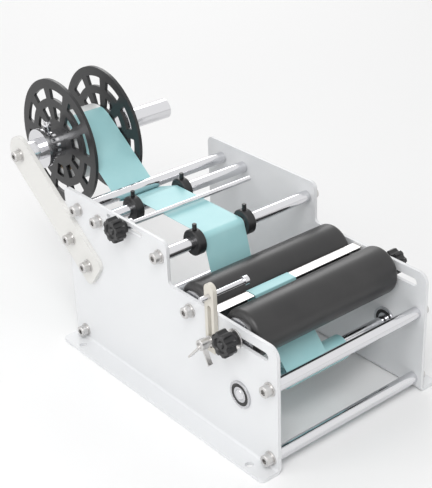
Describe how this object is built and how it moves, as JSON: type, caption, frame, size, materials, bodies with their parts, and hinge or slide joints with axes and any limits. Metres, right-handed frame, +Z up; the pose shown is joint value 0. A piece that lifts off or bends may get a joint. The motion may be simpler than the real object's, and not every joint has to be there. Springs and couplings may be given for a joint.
{
  "type": "tabletop bottle labelling machine",
  "caption": "Hand-cranked tabletop labeller: side plates on feet carry two bottle rollers, a peel plate, guide bars and a label reel.",
  "frame": {"origin": "middle of the four foot holes, on the surface that the feet stand on", "axes": "+X towards the operator's right, the side of the crank; +Y from the operator to the label reel; +Z up"},
  "size_m": [0.3195, 0.536, 0.2955],
  "materials": {
    "white_powder_coat": "fine-grained satin powder coat",
    "arm_powder_coat": "warm white satin powder coat",
    "chrome": "bright plated",
    "stainless": "plain stainless",
    "turned_steel": "turned",
    "bearing_steel": "ground",
    "bearing_seal": "matte",
    "black_rubber": "satin",
    "black_plastic": "moulded, faint grain",
    "black_flange": "satin",
    "cream_paint": "satin",
    "label_paper": "smooth coated paper",
    "core_board": "wound board",
    "backing_film": "smooth release paper"
  },
  "bodies": {
    "frame": {"left_plate": "white_powder_coat", "right_plate": "white_powder_coat", "rear_guide_bar": "chrome", "middle_guide_bar": "chrome", "front_guide_bar": "chrome", "upper_tie_bar": "chrome", "lower_tie_bar": "chrome", "rear_tie_bar": "chrome", "socket_bolts": "stainless", "washers": "stainless", "plate_nuts": "stainless", "rear_axle": "turned_steel", "rear_axle_races": "bearing_steel", "reel_arm": "arm_powder_coat", "reel_tube": "chrome", "web_over_bars": "backing_film", "web_to_peel_edge": "backing_film", "bare_backing": "backing_film", "peel_plate": "stainless", "peel_plate_screws": "stainless", "shaft_bearings": "bearing_steel", "shaft_bearing_seals": "bearing_seal"},
    "roll": {"roll_core": "core_board", "label_roll": "label_paper"},
    "near_flange_set": {"near_flange": "black_flange", "near_flange_hub": "chrome"},
    "near_flange_screw": {"near_flange_thumbscrew": "chrome"},
    "far_flange_set": {"far_flange": "black_flange", "far_flange_hub": "chrome"},
    "far_flange_screw": {"far_flange_thumbscrew": "chrome"},
    "rear_roller": {"rear_roller_core": "turned_steel", "rear_roller_sleeve": "black_rubber", "rear_roller_bearings": "bearing_steel"},
    "sliding_axle": {"front_axle": "turned_steel", "front_axle_races": "bearing_steel", "front_axle_washers": "stainless"},
    "front_roller": {"front_roller_core": "turned_steel", "front_roller_sleeve": "black_rubber", "front_roller_bearings": "bearing_steel"},
    "left_knob": {"left_roller_knob": "black_plastic"},
    "right_knob": {"right_roller_knob": "black_plastic"},
    "hold_down": {"hold_rod": "chrome"},
    "hold_down_knob": {"hold_rod_knob": "black_plastic"},
    "middle_left_collar": {"middle_guide_left_collar": "black_plastic"},
    "middle_left_screw": {"middle_guide_left_thumbscrew": "black_plastic"},
    "middle_right_collar": {"middle_guide_right_collar": "black_plastic"},
    "middle_right_screw": {"middle_guide_right_thumbscrew": "black_plastic"},
    "front_left_collar": {"front_guide_left_collar": "black_plastic"},
    "front_left_screw": {"front_guide_left_thumbscrew": "black_plastic"},
    "front_right_collar": {"front_guide_right_collar": "black_plastic"},
    "front_right_screw": {"front_guide_right_thumbscrew": "black_plastic"},
    "stop": {"stop_bar": "cream_paint"},
    "clamp": {"stop_clamp": "stainless"},
    "stop_screw_body": {"stop_screw": "chrome"},
    "crank": {"crank_shaft": "chrome", "shaft_races": "bearing_steel", "crank_arm": "turned_steel", "crank_pin": "turned_steel"},
    "grip": {"crank_grip": "black_plastic"},
    "coil": {"wound_backing": "backing_film"}
  },
  "joints": [
    {"name": "crank_spin", "type": "hinge", "parent": "frame", "child": "crank", "pos_m": [0, -0.12615, 0.0711], "axis": [1, 0, 0], "continuous": true},
    {"name": "label_roll_spin", "type": "hinge", "parent": "frame", "child": "roll", "pos_m": [0, 0.27639, 0.20379], "axis": [1, 0, 0], "continuous": true},
    {"name": "rear_roller_spin", "type": "hinge", "parent": "frame", "child": "rear_roller", "pos_m": [0, -0.04645, 0.1366], "axis": [1, 0, 0], "continuous": true},
    {"name": "wound_backing_spin", "type": "hinge", "parent": "frame", "child": "coil", "pos_m": [0, -0.12615, 0.0659], "axis": [1, 0, 0], "continuous": true},
    {"name": "front_axle_slide", "type": "slide", "parent": "frame", "child": "sliding_axle", "axis": [0, 1, 0], "range_m": [-0.045, 0]},
    {"name": "front_roller_spin", "type": "hinge", "parent": "sliding_axle", "child": "front_roller", "pos_m": [0, -0.12005, 0.1366], "axis": [1, 0, 0], "continuous": true},
    {"name": "left_knob_turn", "type": "hinge", "parent": "sliding_axle", "child": "left_knob", "pos_m": [-0.113, -0.12005, 0.1366], "axis": [-1, 0, 0], "range_deg": [0, 360]},
    {"name": "right_knob_turn", "type": "hinge", "parent": "sliding_axle", "child": "right_knob", "pos_m": [0.113, -0.12005, 0.1366], "axis": [1, 0, 0], "range_deg": [0, 360]},
    {"name": "hold_rod_slide", "type": "slide", "parent": "frame", "child": "hold_down", "axis": [0, 1, 0], "range_m": [-0.029, 0.031]},
    {"name": "hold_rod_knob_turn", "type": "hinge", "parent": "hold_down", "child": "hold_down_knob", "pos_m": [-0.113, 0.06615, 0.1944], "axis": [-1, 0, 0], "range_deg": [0, 360]},
    {"name": "near_flange_slide", "type": "slide", "parent": "frame", "child": "near_flange_set", "axis": [1, 0, 0], "range_m": [-0.018, 0]},
    {"name": "near_flange_screw_turn", "type": "hinge", "parent": "near_flange_set", "child": "near_flange_screw", "pos_m": [-0.0743, 0.27265, 0.24], "axis": [0, 0, 1], "range_deg": [0, 360]},
    {"name": "far_flange_slide", "type": "slide", "parent": "frame", "child": "far_flange_set", "axis": [1, 0, 0], "range_m": [0, 0.068]},
    {"name": "far_flange_screw_turn", "type": "hinge", "parent": "far_flange_set", "child": "far_flange_screw", "pos_m": [0.0229, 0.27265, 0.24], "axis": [0, 0, 1], "range_deg": [0, 360]},
    {"name": "middle_left_collar_slide", "type": "slide", "parent": "frame", "child": "middle_left_collar", "axis": [1, 0, 0], "range_m": [-0.038, 0]},
    {"name": "middle_left_screw_turn", "type": "hinge", "parent": "middle_left_collar", "child": "middle_left_screw", "pos_m": [-0.0612, 0.11745, 0.2], "axis": [0, 0, 1], "range_deg": [0, 360]},
    {"name": "middle_right_collar_slide", "type": "slide", "parent": "frame", "child": "middle_right_collar", "axis": [1, 0, 0], "range_m": [0, 0.085]},
    {"name": "middle_right_screw_turn", "type": "hinge", "parent": "middle_right_collar", "child": "middle_right_screw", "pos_m": [0.0098, 0.11745, 0.2], "axis": [0, 0, 1], "range_deg": [0, 360]},
    {"name": "front_left_collar_slide", "type": "slide", "parent": "frame", "child": "front_left_collar", "axis": [1, 0, 0], "range_m": [-0.038, 0]},
    {"name": "front_left_screw_turn", "type": "hinge", "parent": "front_left_collar", "child": "front_left_screw", "pos_m": [-0.0612, 0.00375, 0.2], "axis": [0, 0, 1], "range_deg": [0, 360]},
    {"name": "front_right_collar_slide", "type": "slide", "parent": "frame", "child": "front_right_collar", "axis": [1, 0, 0], "range_m": [0, 0.085]},
    {"name": "front_right_screw_turn", "type": "hinge", "parent": "front_right_collar", "child": "front_right_screw", "pos_m": [0.0098, 0.00375, 0.2], "axis": [0, 0, 1], "range_deg": [0, 360]},
    {"name": "stop_bar_slide", "type": "slide", "parent": "frame", "child": "stop", "axis": [0, 0, 1], "range_m": [-0.015, 0.006]},
    {"name": "stop_clamp_turn", "type": "hinge", "parent": "frame", "child": "clamp", "pos_m": [-0.12, -0.08525, 0.1196], "axis": [-1, 0, 0], "range_deg": [0, 360]},
    {"name": "stop_screw_slide", "type": "slide", "parent": "stop", "child": "stop_screw_body", "axis": [1, 0, 0], "range_m": [-0.035, 0.008]},
    {"name": "crank_grip_spin", "type": "hinge", "parent": "crank", "child": "grip", "pos_m": [0.163, -0.07664, 0.06414], "axis": [1, 0, 0], "continuous": true}
  ],
  "couplings": [
    {"joint": "label_roll_spin", "follows": "crank_spin", "ratio": 0.3349},
    {"joint": "rear_roller_spin", "follows": "crank_spin", "ratio": -0.5143},
    {"joint": "wound_backing_spin", "follows": "crank_spin", "ratio": 1}
  ]
}
